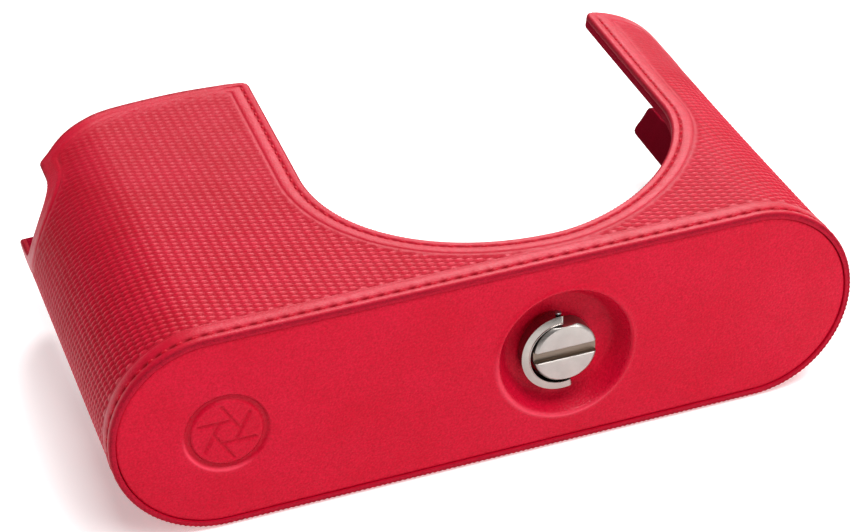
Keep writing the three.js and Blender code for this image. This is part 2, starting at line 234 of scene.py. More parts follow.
def notch_line(side):
    """Lug notch from its back edge to its front edge on the right, the other way on the left."""
    turn = NOTCH["right_turn"] if side > 0 else NOTCH["left_turn"]
    centre = s_of(side * LENGTH / 2) - side * END_R * math.radians(turn)
    centre_y = NOTCH["right"] if side > 0 else NOTCH["left"]
    back_top = BACK["right_ear"] if side > 0 else BACK["left_ear"]
    front_top = ARM_TOP if side > 0 else LEFT_TOP[0][1]
    a = np.linspace(0, math.pi, 25)
    bowl = np.c_[NOTCH["radius"] * np.cos(a), -NOTCH["radius"] * np.sin(a)]
    bowl[:, 0] = END_R * np.arcsin(bowl[:, 0] / END_R) + centre
    bowl[:, 1] += centre_y
    first, last = (back_top, front_top) if side > 0 else (front_top, back_top)
    return np.vstack([[(bowl[0, 0], first)], bowl, [(bowl[-1, 0], last)]])


def back_line(side):
    """Edge of the back opening, from the middle of the back wall up to the top of an ear."""
    top = BACK["right_ear"] if side > 0 else BACK["left_ear"]
    bend = bezier((BACK["foot"], BACK["top"]), (EAR_X, BACK["top"]), (EAR_X, BACK["bend"]), 30)
    line = np.vstack([[(0.0, BACK["top"])], bend, [(EAR_X, top)]])
    start = AROUND if side > 0 else 0.0
    rows = [(s_of(side * x, back=True), y) for x, y in line]
    rows[0] = (start, BACK["top"])
    return np.array(rows)


def wall_edges():
    """The wall's upper edge in unrolled coordinates, from the middle of the back on the right to that on
    the left, as named stretches."""
    lens = lens_line()
    right_notch = notch_line(1)
    left_notch = notch_line(-1)
    right_back = back_line(1)
    left_back = back_line(-1)[::-1]
    crest = smooth_line(LEFT_TOP, 8)[::-1]
    crest = np.array([(s_of(x), y) for x, y in crest])
    arm = rounded([right_notch[-2], right_notch[-1], lens[0], lens[1]], 2.0)
    corner = rounded([lens[-2], lens[-1], crest[0]], 1.6)
    left_front = rounded([crest[-1], left_notch[0], left_notch[1]], 1.2)
    right_ear = rounded([right_back[-2], right_back[-1], right_notch[0], right_notch[1]], 1.8)
    left_ear = rounded([left_notch[-2], left_notch[-1], left_back[0], left_back[1]], 3.0)
    return [
        ("back", right_back[:-1]), ("ear", right_ear[1:-1]), ("notch", right_notch[1:-1]),
        ("arm", arm[1:-1]), ("lens", lens[1:-1]), ("corner", corner[1:-1]), ("top", crest[:-1]),
        ("front", left_front[1:-1]), ("notch", left_notch[1:-1]), ("ear", left_ear[1:-1]),
        ("back", left_back[1:]),
    ]


EDGES = wall_edges()
TOP_LINE = np.vstack([line for _, line in EDGES])


# ---------- distances

def distance(points, line):
    """Distance from each point to a line of straight pieces."""
    a, b = line[:-1], line[1:]
    keep = np.linalg.norm(b - a, axis=1) > 1e-6
    a, ab = a[keep], (b - a)[keep]
    long2 = (ab ** 2).sum(1)
    best = np.full(len(points), 1e9)
    for i in range(0, len(points), 4000):
        ap = points[i:i + 4000, None, :] - a[None]
        t = np.clip((ap * ab).sum(2) / long2, 0, 1)
        gap = ap - t[..., None] * ab
        best[i:i + 4000] = np.sqrt((gap ** 2).sum(2).min(1))
    return best


def inside(points, ring):
    """True for points inside a closed outline."""
    a = ring
    b = np.roll(ring, -1, axis=0)
    within = np.zeros(len(points), bool)
    for (x0, y0), (x1, y1) in zip(a, b):
        if y0 == y1:
            continue
        crosses = (y0 > points[:, 1]) != (y1 > points[:, 1])
        at = x0 + (points[:, 1] - y0) * (x1 - x0) / (y1 - y0)
        within ^= crosses & (points[:, 0] < at)
    return within


def ramp(value, low, high):
    t = np.clip((value - low) / (high - low), 0, 1)
    return t * t * (3 - 2 * t)


def dip(value, centre, width):
    return np.exp(-((value - centre) / width) ** 2)


# ---------- mesh helpers

def make_object(name, points, faces, body, slot, node, attributes=None, weld=0.0):
    """A smooth-shaded piece in place of a CAD node, with a float attribute for each named list."""
    mesh = bpy.data.meshes.new(name)
    mesh.from_pydata(np.asarray(points, float).tolist(), [], [tuple(map(int, f)) for f in faces])
    for key, values in (attributes or {}).items():
        layer = mesh.attributes.new(key, "FLOAT", "POINT")
        layer.data.foreach_set("value", np.ascontiguousarray(values, dtype=np.float32))
    obj = bpy.data.objects.new(name, mesh)
    bpy.context.scene.collection.objects.link(obj)
    clean(mesh, weld)
    mesh.shade_smooth()
    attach(obj, body)
    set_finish(obj, slot)
    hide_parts(node)
    return obj


def clean(mesh, weld=0.0):
    """Drops loose points, welds the rest and turns every face outwards."""
    bm = bmesh.new()
    bm.from_mesh(mesh)
    loose = [v for v in bm.verts if not v.link_faces]
    bmesh.ops.delete(bm, geom=loose, context="VERTS")
    if weld:
        bmesh.ops.remove_doubles(bm, verts=bm.verts, dist=weld)
    bmesh.ops.recalc_face_normals(bm, faces=bm.faces)
    bm.to_mesh(mesh)
    bm.free()


def fill_outline(loops, inner):
    """Triangles over flat points: closed loops of points first, then free points inside them."""
    points = np.vstack([*loops, inner])
    edges = []
    first = 0
    for loop in loops:
        n = len(loop)
        edges += [(first + i, first + (i + 1) % n) for i in range(n)]
        first += n
    made = delaunay_2d_cdt([Vector(p) for p in points], edges, [], 1, 1e-6)
    source = [origin[0] for origin in made[3]]
    return points, np.array([[source[i] for i in face] for face in made[2]])


def crossings(across, up):
    """Flat points at every crossing of two lists of positions."""
    return np.stack(np.meshgrid(across, up), axis=-1).reshape(-1, 2)


def strip(low, high):
    """Quads between two rows of indices of the same length."""
    return [(a, b, c, d) for a, b, c, d in zip(low[:-1], high[:-1], high[1:], low[1:])]


class Shell:
    """A mesh in the making: points, faces and the paint on each point."""

    def __init__(self):
        self.points, self.faces, self.paint = [], [], []
        self.total = 0

    def add(self, points, faces=(), paint=0.0):
        """Adds points and the faces between them; returns the points' numbers."""
        numbers = self.total + np.arange(len(points))
        self.points.append(points)
        self.faces += list(np.asarray(faces) + self.total) if len(faces) else []
        self.paint.append(np.broadcast_to(paint, len(points)))
        self.total += len(points)
        return numbers

    def row(self, points, before=None, paint=0.0, closed=False):
        """Adds a row of points, with quads to the row before it; returns its numbers."""
        row = self.add(points, paint=paint)
        if closed:
            row = np.r_[row, row[0]]
        if before is not None:
            self.faces += strip(before, row)
        return row

    def rim(self, edge, way, rows, coats, before=None):
        """Adds rows over a cut edge of the wall, each at an inset along way and a depth."""
        for (inset, deep), coat in zip(rows, coats):
            at = edge + way * inset
            before = self.row(wall_xyz(at[:, 0], at[:, 1], -deep), before, coat)

    def spread(self, values, first=0):
        """The values at their points' places among zeros for the other points."""
        among = np.zeros(self.total)
        among[first:first + len(values)] = values
        return among

    def build(self, name, slot, node, attributes=None):
        """Makes the piece, on the body case."""
        points = np.vstack(self.points)
        make_object(name, points, self.faces, "case", slot, node, attributes, weld=4e-6)


# ---------- wall

SEAM_STEP = STITCH / 6
FOOT = np.linspace(0, AROUND, 6 * round(AROUND / STITCH) + 1)
FACE_RINGS = [0, 0.06, 0.15, 0.28, 0.42, 0.6, 0.9, 1.2, 1.36, 1.46, 1.56, 1.65, 1.74, 1.84, 1.94, 2.1,
              2.4, 2.8, 3.15, 3.45, 3.6, 3.72, 3.82, 3.92, 4.02, 4.14, 4.3]
FOOT_RINGS = [0, 0.05, 0.13, 0.25, 0.45, 0.8, 1.1, 1.3, 1.4, 1.5, 1.6, 1.7, 1.8, 1.9, 2.0, 2.15, 2.4, 2.9,
              3.4, 3.8, 3.95, 4.08, 4.18, 4.28, 4.38, 4.5, 4.65]
WEAVE_ROWS = (np.arange(10, 200) + 0.5) * PILLOW_Y / 3
WEAVE_CLEAR = FACE_RINGS[-1] + 0.22
LEATHER_RIM = [(0.0, 0.56), (0.05, 0.61), (0.0, 0.66), (0.0, 0.7), (0.0, LEATHER - 0.06), (0.02, LEATHER)]
TOP_COATS = (0.6, 0.5, 0.5, 0.5, 0.5, 0.6)
FOOT_COATS = (0.6, 0.5, 0.45, 0.45, 0.45, 0.6)
LINING_RIM = [(0.04, LINING_OUT), (0.02, LEATHER + 0.015), (0.0, LEATHER + 0.05), (0.0, 1.6), (0.0, 2.1),
              (0.0, LINING_IN - 0.3), (0.05, LINING_IN - 0.14), (0.18, LINING_IN - 0.04), (0.4, LINING_IN)]
UP = np.array([(0.0, 1.0)])


def upper_line(step):
    """The wall's upper edge at an even step, and its direction towards the leather."""
    line = even(TOP_LINE, step)
    way = np.gradient(line, axis=0)
    way /= np.linalg.norm(way, axis=1)[:, None]
    inward = np.c_[-way[:, 1], way[:, 0]]
    inward[0] = inward[-1] = (0, -1)
    return line, inward


def crease_weight(line):
    """How deep the margin's crease is at each point of the upper edge: it fades out along the left top."""
    weights = [np.full(len(stretch), 0.15 if kind in ("top", "front") else 1.0) for kind, stretch in EDGES]
    nearest = [np.argmin(((TOP_LINE - point) ** 2).sum(1)) for point in line]
    creased = np.concatenate(weights)[nearest]
    return np.convolve(np.pad(creased, 12, mode="edge"), np.ones(25) / 25, mode="valid")


def sewn_weight(s, y):
    """One along the lens opening and the back opening's floor, nothing elsewhere on the upper edge."""
    lens = (np.abs(s - s_of(LENS["x"])) < LENS["left"] + 4.5) & (y < LEFT_CORNER_TOP - 1.0)
    behind = (s < HALF_FLAT + 15) | (s > AROUND - HALF_FLAT - 15)
    return np.where(lens | (behind & (y < BACK["left_ear"] - 4)), 1.0, 0.0)


def emboss(s, y):
    """Height from 0 to 1 of the pressed weave: lens-shaped pillows in staggered columns."""
    height = np.zeros(len(s))
    for shift in (0.0, 0.5):
        dx = (s / PILLOW_X + shift + 0.5) % 1.0 - 0.5
        dy = (y / PILLOW_Y + shift + 0.5) % 1.0 - 0.5
        level = 1 - (dx * PILLOW_X / PILLOW_LONG) ** 2 - (dy * PILLOW_Y / PILLOW_WIDE) ** 2
        height = np.maximum(height, np.sqrt(np.clip(level, 0, 1)))
    return height


def rounding(distance_in, radius):
    """How far a rounded edge drops at a distance in from it."""
    t = np.clip(distance_in, 0, radius)
    return radius - np.sqrt(radius ** 2 - (radius - t) ** 2)


def level_line(s, y):
    """Points at one height."""
    return np.c_[s, np.full(len(s), y)]


def upright(s, heights):
    """Points one above another."""
    return np.c_[np.full(len(heights), s), heights]


def ring_points(line, inward, run):
    """Points in rings in from the upper edge and up from the foot, and how far along its edge each one is."""
    coarse = np.arange(len(line)) % 2 == 0
    coarse[-1] = True
    rings, runs, insets = [], [], []
    for inset in FACE_RINGS[1:]:
        keep = coarse | (abs(inset - SEAM_IN) < 0.5)
        rings.append((line + inward * inset)[keep])
        runs.append(run[keep])
        insets.append(np.full(keep.sum(), inset))
    for inset in FOOT_RINGS[1:]:
        at = FOOT if abs(inset - BASE_SEAM_Y) < 0.5 else FOOT[::2]
        rings.append(level_line(at, inset))
        runs.append(at)
        insets.append(np.full(len(at), -inset))
    rings, runs, insets = np.vstack(rings), np.concatenate(runs), np.concatenate(insets)
    gap = distance(rings, line)
    true_ring = np.where(insets > 0, np.abs(gap - insets) < 0.02, gap > FACE_RINGS[-1] + 0.1)
    return rings[true_ring], runs[true_ring]


def weave_points(line, outline):
    """Free points under the pressed weave, eight across and three up for each pillow."""
    columns = np.arange(8 * round(AROUND / PILLOW_X) + 1)
    grid = np.stack(np.meshgrid(columns * PILLOW_X / 8, WEAVE_ROWS), axis=-1)
    grid[..., 1] += np.where((columns + 2) // 4 % 2 == 0, 0.0, PILLOW_Y / 2)
    grid = grid.reshape(-1, 2)
    grid = grid[inside(grid + (1e-4, 0), outline)]
    return grid[(grid[:, 1] > FOOT_RINGS[-1] + 0.15) & (distance(grid, line[::2]) > WEAVE_CLEAR)]


def leather_face(line, inward):
    """The face's points and triangles, each point's run along its seam, and where the foot starts."""
    run = np.arange(len(line)) * SEAM_STEP
    rings, ring_run = ring_points(line, inward, run)
    grid = weave_points(line, np.vstack([line, level_line(FOOT, 0)]))
    low_rows = WEAVE_ROWS[WEAVE_ROWS < BACK["top"] - WEAVE_CLEAR]
    side = np.concatenate([low_rows, FOOT_RINGS, BACK["top"] - np.array(FACE_RINGS)])
    side = np.unique(side.round(4))[1:-1]
    loop = np.vstack([line, upright(0, side[::-1]), level_line(FOOT, 0), upright(AROUND, side)])
    free = np.vstack([rings, grid])
    clear = (free[:, 0] >= 1e-3) & (free[:, 0] <= AROUND - 1e-3)
    points, faces = fill_outline([loop], free[clear])
    along = np.zeros(len(points))
    along[:len(line)] = run
    along[len(loop):] = np.concatenate([ring_run, np.zeros(len(grid))])[clear]
    at_foot = points[:, 1] < FOOT_RINGS[-1] + 0.01
    along[at_foot] = points[at_foot, 0]
    return points, faces, along, len(line) + len(side)


def leather_relief(points, along, line):
    """How far each point of the face stands out, and the masks that its material reads."""
    s, y = points.T
    gap = distance(points, line[::2])
    gap[:len(line)] = 0
    near = np.abs(s[:, None] - line[None, ::4, 0]) + np.abs(y[:, None] - line[None, ::4, 1])
    creased = crease_weight(line)[np.argmin(near, axis=1) * 4]
    soft = 1 - creased
    sewn = sewn_weight(s, y)
    hole = 0.5 + 0.5 * np.cos(2 * math.pi * along / STITCH)
    seam = 0.7 * sewn * dip(gap, SEAM_IN, 0.30) + dip(y, BASE_SEAM_Y, 0.30)
    pit = (0.5 * sewn * dip(gap, SEAM_IN, 0.17) + dip(y, BASE_SEAM_Y, 0.17)) * hole ** 2
    dash = (0.7 * sewn * dip(gap, SEAM_IN, 0.25) + 1.1 * dip(y, BASE_SEAM_Y, 0.42)) * hole ** 1.5
    high_arm = ramp(y, *ARM_FADE) * ((s > s_of(LENS["x"])) & (s < s_of(LENGTH / 2)))
    high_left = ramp(y, *LEFT_FADE) * ((s < s_of(LENS["x"])) & (s > s_of(-LENGTH / 2)))
    crease = creased * dip(gap, CREASE, 0.26) + 0.7 * dip(y, BASE_CREASE, 0.15)
    crease *= 1 - 0.5 * high_arm
    margin = np.minimum(gap, y * 0.92)
    band = np.where((margin > 2.1) & (margin < 3.8), np.sin(math.pi * (margin - 2.1) / 1.7), 0)
    field = ramp(gap, 4.0 - 2.6 * soft, 5.3 + 1.3 * soft) * ramp(y, 4.4, 5.0)
    field *= 1 - 0.6 * high_arm - 0.4 * high_left
    weave = emboss(s, y)
    top_line = np.clip(1 - sewn, 0, 1) * soft * dip(gap, 0.45, 0.6) * (0.5 + hole)
    out = (PRESSED["band"] * band - PRESSED["seam"] * seam - PRESSED["pit"] * pit - PRESSED["crease"] * crease
           - PILLOW_DEEP * (1 - weave) * field - rounding(gap, EDGE_ROUND) - rounding(y, FOOT_ROUND))
    # The dark mask is painted shade in the stitch holes, seam channels and margin crease; along the top edge
    # it is partly a dark paint line and partly painted shade of the edge's groove.
    masks = {
        "paint": 0.7 * np.maximum(dip(gap, 0, 0.3), dip(y, 0, 0.14)),
        "pillow": field * weave,
        "field": field,
        "dark": np.clip(dash + 0.3 * crease + 0.25 * seam + top_line, 0, 1),
    }
    return out, masks


def leather_back(line, inward):
    """Flat points and triangles of the leather's hidden side."""
    grid = crossings(np.arange(1, AROUND - 1, 2.0), np.arange(2.5, 84, 4.0))
    grid = grid[inside(grid, np.vstack([line, level_line(FOOT, 0)]))]
    grid = grid[distance(grid, line[::4]) > 1.2]
    side = np.arange(BACK["top"] - 2, 1, -3.0)
    loop = [line + inward * 0.04, upright(0, side), level_line(FOOT, 0.04), upright(AROUND, side[::-1])]
    return fill_outline([np.vstack(loop)], grid)


def wall_leather_piece():
    """The outer leather: pressed weave, creased smooth margins, sewn channels and painted cut edges."""
    line, inward = upper_line(SEAM_STEP)
    points, faces, along, foot_first = leather_face(line, inward)
    out, masks = leather_relief(points, along, line)
    shell = Shell()
    numbers = shell.add(wall_xyz(*points.T, out), faces, masks["paint"])
    foot = slice(foot_first, foot_first + len(FOOT))
    shell.rim(points[:len(line)], inward, LEATHER_RIM, TOP_COATS, numbers[:len(line)])
    shell.rim(points[foot], UP, LEATHER_RIM, FOOT_COATS, numbers[foot])
    back, made = leather_back(line, inward)
    shell.add(wall_xyz(*back.T, -LEATHER), made[:, ::-1])
    attributes = {key: shell.spread(mask) for key, mask in masks.items()}
    attributes["paint"] = np.concatenate(shell.paint)
    shell.build("case_wall_leather", "embossed_leather", "wall_leather", attributes)


def lining_depth(s, y, gap):
    """Depth of the lining's hidden side, pocketed for the two stiffening boards."""
    depth = np.full(len(s), LINING_OUT)
    x, _, z = wall_xyz(s, y, 0).T / MM
    boards = [box(name) for name in ("back_stiffener", "front_stiffener")]
    pocket = boards[0][1][2] + 0.08 - LINING_OUT
    for low, high in boards:
        x_in = ramp(x, low[0] - 1.2, low[0] - 0.2) * ramp(-x, -high[0] - 1.2, -high[0] - 0.2)
        y_in = ramp(y, low[1] - 1.2, low[1] - 0.2) * ramp(gap, 1.9, 2.8)
        depth += pocket * x_in * y_in * (np.abs(z - (low[2] + high[2]) / 2) < 4)
    return depth


def wall_lining_piece():
    """The suede lining."""
    line, inward = upper_line(0.9)
    foot = level_line(np.linspace(0, AROUND, 301), LINING_FOOT)
    shell = Shell()
    shell.rim(line, inward, LINING_RIM, [0.5] * 7 + [0.0] * 2)
    shell.rim(foot, UP, LINING_RIM, [0.0] * 9)
    side = np.arange(BACK["top"] - 2, LINING_FOOT + 1, -1.5)
    for inset, step, outside in [(0.04, 1.0, True), (0.4, 1.1, False)]:
        loop = np.vstack([line + inward * inset, upright(0, side), foot + UP * inset,
                          upright(AROUND, side[::-1])])
        grid = crossings(np.arange(step, AROUND - 0.5, step), np.arange(LINING_FOOT + 1, 85, step))
        grid = grid[inside(grid, loop)]
        grid = grid[distance(grid, line) > inset + 0.6]
        points, made = fill_outline([loop], grid)
        s, y = points.T
        gap = distance(points, line)
        if outside:
            shell.add(wall_xyz(s, y, -lining_depth(s, y, gap)), made)
        else:
            depth = LINING_IN + 0.03 * np.sin(s * 0.9 + 2 * np.sin(y * 0.5)) * ramp(gap, 0.4, 3)
            shell.add(wall_xyz(s, y, -depth), made[:, ::-1])
    shell.build("case_wall_lining", "lining", "wall_lining", {"paint": np.concatenate(shell.paint)})


# ---------- sewing

THREAD = 0.27
THREAD_DEEP = 0.22
STITCH_LONG = 1.48
PLY = dict(ridge=0.16, twist=4.2)


def along_wall(run, seam, at):
    """Points, ways and outwards on the wall at places along a seam of unrolled points with a known run."""
    def unrolled(places):
        return np.interp(places, run, seam[:, 0]), np.interp(places, run, seam[:, 1])

    s, y = unrolled(at)
    out = wall_xyz(s, y, 1.0) - wall_xyz(s, y, 0.0)
    way = wall_xyz(*unrolled(at + 0.2), 0) - wall_xyz(*unrolled(at - 0.2), 0)
    out, way = (side / np.linalg.norm(side, axis=1)[:, None] for side in (out, way))
    return wall_xyz(s, y, -THREAD_DEEP), way, out


def stitches(name, middles, run, seam, node):
    """A row of separate stitches of two-ply thread, each round one of the middles along a seam."""
    sections, around = 11, 8
    t = np.linspace(-1, 1, sections)[:, None]
    turn = np.linspace(0, 2 * math.pi, around, endpoint=False)
    plies = 1 + PLY["ridge"] * np.cos(2 * (turn - PLY["twist"] * t))
    wide = THREAD * (1 - 0.25 * np.abs(t) ** 4) * plies
    sideways = (np.cos(turn) * wide)[..., None]
    outwards = (np.sin(turn) * wide + 0.06 - 0.42 * np.abs(t) ** 2.6)[..., None]
    cloud, faces = [], []
    for number, middle in enumerate(middles):
        centre, way, out = along_wall(run, seam, middle + t[:, 0] * STITCH_LONG / 2)
        side = np.cross(way, out)
        tube = centre[:, None] + (sideways * side[:, None] + outwards * out[:, None]) * MM
        cloud.append(tube.reshape(-1, 3))
        rings = (number * sections + np.arange(sections))[:, None] * around + np.r_[np.arange(around), 0]
        for low, high in zip(rings[:-1], rings[1:]):
            faces += strip(low, high)
        faces += [tuple(rings[0, :-1][::-1]), tuple(rings[-1, :-1])]
    make_object(name, np.vstack(cloud), faces, "case", "thread", node)


def seam_pieces():
    """The thread round the base, along the lens opening and along the back opening."""
    line, inward = upper_line(SEAM_STEP)
    run = np.arange(len(line)) * SEAM_STEP
    seam = line + inward * SEAM_IN
    middles = (np.arange(int(run[-1] / STITCH)) + 0.5) * STITCH
    for shift in (-STITCH / 2, STITCH / 2):
        s, y = (np.interp(middles + shift, run, line[:, axis]) for axis in (0, 1))
        middles = middles[sewn_weight(s, y) > 0]
    at_s = np.interp(middles, run, line[:, 0])
    on_front = (at_s > HALF_FLAT + END_ARC) & (at_s < 3 * HALF_FLAT + END_ARC)
    stitches("lens_edge_stitches", middles[on_front], run, seam, "lens_edge_thread")
    stitches("back_edge_stitches", middles[~on_front], run, seam, "back_edge_thread")
    count = round(AROUND / STITCH)
    ends = np.array([0.0, AROUND])
    middles = (np.arange(count) + 0.5) * (AROUND / count)
    stitches("base_seam_stitches", middles, ends, level_line(ends, BASE_SEAM_Y), "base_seam_thread")


# ---------- base panel

SCREW_BOX = box("tripod_screw")
SCREW = (SCREW_BOX[0] + SCREW_BOX[1])[[0, 2]] / 2
HEAD_R = (SCREW_BOX[1] - SCREW_BOX[0])[0] / 2
DISH = dict(rim=11.9, floor_radius=9.3, floor=4.0, leather=0.8, boss_shift=0.3)
BASE_FACE = 0.2
PANEL_IN = 1.2
FLANGE = 6.1
EMBLEM = dict(radius=6.5, line=1.0, edge=0.75, deep=0.48)
EMBLEM_AT = np.array([-45.7, 17.8])
IRIS = dict(blades=6, opening=2.3, reach=5.0, line=0.5, edge=0.8, deep=0.28)
# Direction on the panel, lower left, of the highlights painted on the dish's lip and the emblem's ring.
LOW_LEFT = (-0.5, -0.87)
EYELET_HOLE = 3.6
LINING_HOLE = 3.75
NEAR_SCREW = 13.6
NEAR_EMBLEM = 8.0


def stadium_ring(radius, step):
    """Closed even outline of a stadium in X and Z, without repeating its first point."""
    flat_n = max(2, round(2 * HALF_FLAT / step))
    arc_n = max(8, round(math.pi * END_R / step))
    across = np.linspace(-HALF_FLAT, HALF_FLAT, flat_n, endpoint=False)
    turn = np.linspace(0, math.pi, arc_n, endpoint=False)
    low = np.c_[across, np.full(flat_n, -radius)]
    right = np.c_[HALF_FLAT + radius * np.sin(turn), -radius * np.cos(turn)]
    return np.vstack([low, right, -low, -right]) + (0.0, END_R)


def stadium_rings(shell, rows, step):
    """Adds stadium rings, one for each row of (radius, y), joined by quads."""
    before = None
    for radius, y in rows:
        x, z = stadium_ring(radius, step).T
        before = shell.row(place(np.c_[x, np.full(len(x), y), z]), before, closed=True)


def circle(radius, count):
    """Points of a circle round the screw."""
    turn = np.linspace(0, 2 * math.pi, count, endpoint=False)
    return np.c_[SCREW[0] + radius * np.cos(turn), SCREW[1] + radius * np.sin(turn)]


def holed(edge, hole, free, apart, clear):
    """Flat points and triangles between an outline and the screw's hole, and the hole's closed row."""
    free = free[inside(free, edge)]
    free = free[distance(free, np.vstack([edge, edge[:1]])) > apart]
    points, made = fill_outline([edge, hole], free)
    made = made[np.linalg.norm(points[made].mean(axis=1) - SCREW, axis=1) > clear]
    return points, made, len(edge) + np.r_[np.arange(len(hole)), 0]


def dish(points, shift=0.0):
    """Depth of the pressed recess round the screw: a soft lip, a steep side and a nearly flat floor."""
    r = np.linalg.norm(points - SCREW, axis=1) - shift
    down = np.clip((DISH["rim"] - r) / (DISH["rim"] - DISH["floor_radius"]), 0, 1)
    side = 0.55 * np.sin(down * math.pi / 2) + 0.45 * down * down * (3 - 2 * down)
    return (DISH["floor"] - BASE_FACE) * side - 0.26 * dip(r, DISH["rim"] + 0.2, 0.42)


def groove(gap, shape):
    """Depth of a pressed line at a distance from its middle."""
    return shape["deep"] * (1 - ramp(gap, shape["line"] * 0.3, shape["line"] * shape["edge"]))


def emblem(points):
    """Depth of the pressed emblem: a ring round a plain six-bladed iris."""
    local = points - EMBLEM_AT
    depth = groove(np.abs(np.linalg.norm(local, axis=1) - EMBLEM["radius"]), EMBLEM)
    turns = np.linspace(0, 2 * math.pi, IRIS["blades"] + 1)
    corners = IRIS["opening"] * np.c_[np.cos(turns), np.sin(turns)]
    for corner, other in zip(corners[:-1], corners[1:]):
        way = (other - corner) / np.linalg.norm(other - corner)
        middle = corner @ way
        reach = -middle + math.sqrt(middle ** 2 - corner @ corner + IRIS["reach"] ** 2)
        gap = distance(local, np.array([corner, corner + way * reach]))
        depth = np.maximum(depth, groove(gap, IRIS))
    return depth


def base_marks(points):
    """Where the panel's face is pressed down and burnished, and where a pale highlight is painted on the
    lower left of the dish's lip and of the emblem's ring.
    """
    from_screw, from_emblem = points - SCREW, points - EMBLEM_AT
    r = np.linalg.norm(from_screw, axis=1)
    ring = np.linalg.norm(from_emblem, axis=1)
    low_left = from_screw @ LOW_LEFT / np.maximum(r, 1)
    low_left_ring = from_emblem @ LOW_LEFT / np.maximum(ring, 1)
    # Painted highlight: a pale line on the lower-left side of the dish's lip and of the emblem's outer edge.
    lip = dip(r, DISH["rim"] + 0.35, 0.4) * ramp(low_left, 0.1, 0.9)
    outer_line = dip(ring, EMBLEM["radius"] + 0.75, 0.25) * ramp(low_left_ring, 0.3, 0.9)
    return {
        "pressed": emblem(points) / EMBLEM["deep"],
        "burnish": np.maximum(dip(r, DISH["rim"] - 0.1, 0.7), dip(ring, EMBLEM["radius"], 0.6)),
        "painted_highlight": np.maximum(lip, outer_line),
    }


def panel_free_points(ring_step, grid_step, with_emblem):
    """Free points of one face of the base panel: rings round the screw and a grid, fine at the emblem."""
    free = [circle(r, 120) for r in np.arange(4.2, NEAR_SCREW - 0.2, ring_step)]
    grid = crossings(np.arange(-62, 62, grid_step), np.arange(3, 34, grid_step))
    grid = grid[np.linalg.norm(grid - SCREW, axis=1) > NEAR_SCREW]
    if with_emblem:
        grid = grid[np.linalg.norm(grid - EMBLEM_AT, axis=1) > NEAR_EMBLEM]
        across = np.arange(0.2 - NEAR_EMBLEM, NEAR_EMBLEM - 0.2, 0.2)
        fine = crossings(across, across)
        free.append(fine[np.linalg.norm(fine, axis=1) < NEAR_EMBLEM - 0.3] + EMBLEM_AT)
    return np.vstack([*free, grid])


def base_leather_piece():
    """The base panel with its dished recess, pressed emblem and turned-up flange."""
    outer_r = END_R - PANEL_IN
    inner_r = END_R - LINING_IN
    rows = [(outer_r - 1.4, BASE_FACE), (outer_r - 0.8, BASE_FACE + 0.01), (outer_r - 0.4, BASE_FACE + 0.03),
            (outer_r - 0.2, BASE_FACE + 0.07), (outer_r - 0.08, BASE_FACE + 0.14),
            (outer_r - 0.01, BASE_FACE + 0.25), (outer_r, BASE_FACE + 0.4), (outer_r, 3.0),
            (outer_r, FLANGE - 0.1), (outer_r - 0.1, FLANGE), (inner_r + 0.1, FLANGE),
            (inner_r, FLANGE - 0.1), (inner_r, 3.0), (inner_r, 1.5), (inner_r - 0.1, 1.4)]
    shell = Shell()
    stadium_rings(shell, rows, 0.9)
    hole = circle(EYELET_HOLE, 96)
    edge = stadium_ring(rows[0][0], 0.9)
    points, made, hole_row = holed(edge, hole, panel_free_points(0.3, 1.3, True), 0.5, EYELET_HOLE * 0.98)
    y = BASE_FACE + dish(points) + emblem(points)
    y += 0.03 * np.sin(points[:, 0] * 0.21 + 1.0) * np.sin(points[:, 1] * 0.33)
    y[:len(edge)] = BASE_FACE
    face = shell.add(place(np.c_[points[:, 0], y, points[:, 1]]), made)
    marks = base_marks(points)
    edge = stadium_ring(rows[-1][0], 0.9)
    points, made, back_row = holed(edge, hole, panel_free_points(0.7, 2.6, False), 0.5, EYELET_HOLE * 0.98)
    y = np.maximum(1.4, BASE_FACE + dish(points, DISH["boss_shift"]) + DISH["leather"])
    back = shell.add(place(np.c_[points[:, 0], y, points[:, 1]]), made[:, ::-1])
    shell.faces += strip(face[hole_row], back[back_row])
    attributes = {key: shell.spread(mark, face[0]) for key, mark in marks.items()}
    shell.build("case_base_leather", "smooth_leather", "base_leather", attributes)


def base_lining_piece():
    """The soft pad seen through the open top, holed for the screw."""
    outer_r = END_R - LINING_IN - 0.1
    low, high = levels("base_lining")
    rows = [(outer_r, low), (outer_r, high - 0.2), (outer_r - 0.06, high - 0.06), (outer_r - 0.2, high)]
    shell = Shell()
    stadium_rings(shell, rows, 1.5)
    grid = crossings(np.arange(-62, 62, 1.7), np.arange(3, 34, 1.7))
    free = np.vstack([circle(4.5, 40), grid[np.linalg.norm(grid - SCREW, axis=1) > 5.2]])
    holes = []
    for radius, level in ((rows[-1][0], high), (rows[0][0], low)):
        edge, hole = stadium_ring(radius, 1.5), circle(LINING_HOLE, 48)
        points, made, hole_row = holed(edge, hole, free, 0.8, LINING_HOLE - 0.05)
        y = np.full(len(points), level)
        if level == high:
            free_first = hole_row[-2] + 1
            y[free_first:] += 0.03 * np.sin(points[free_first:, 0] * 0.8)
        face = shell.add(place(np.c_[points[:, 0], y, points[:, 1]]), made)
        holes.append(face[hole_row])
    shell.faces += strip(*holes)
    shell.build("case_base_lining", "lining", "base_lining")


# ---------- tripod screw

PIVOT_X, PIVOT_Y = np.mean(box("bail_pin_front"), axis=0)[:2]
HEAD_FLAT = (SCREW_BOX[1] - SCREW_BOX[0])[2] / 2
HEAD_BOTTOM = levels("screw_washer")[0] - 0.03
SLOT = dict(wide=2.0, deep=1.0)
HELIX = dict(root=2.55, crest=3.15, pitch=1.27, turns=3)
NECK_R = 2.3
PIN_BORE_R = 0.48
HELIX_TIP = SCREW_BOX[1][1]
HELIX_START = HELIX_TIP - HELIX["turns"] * HELIX["pitch"]


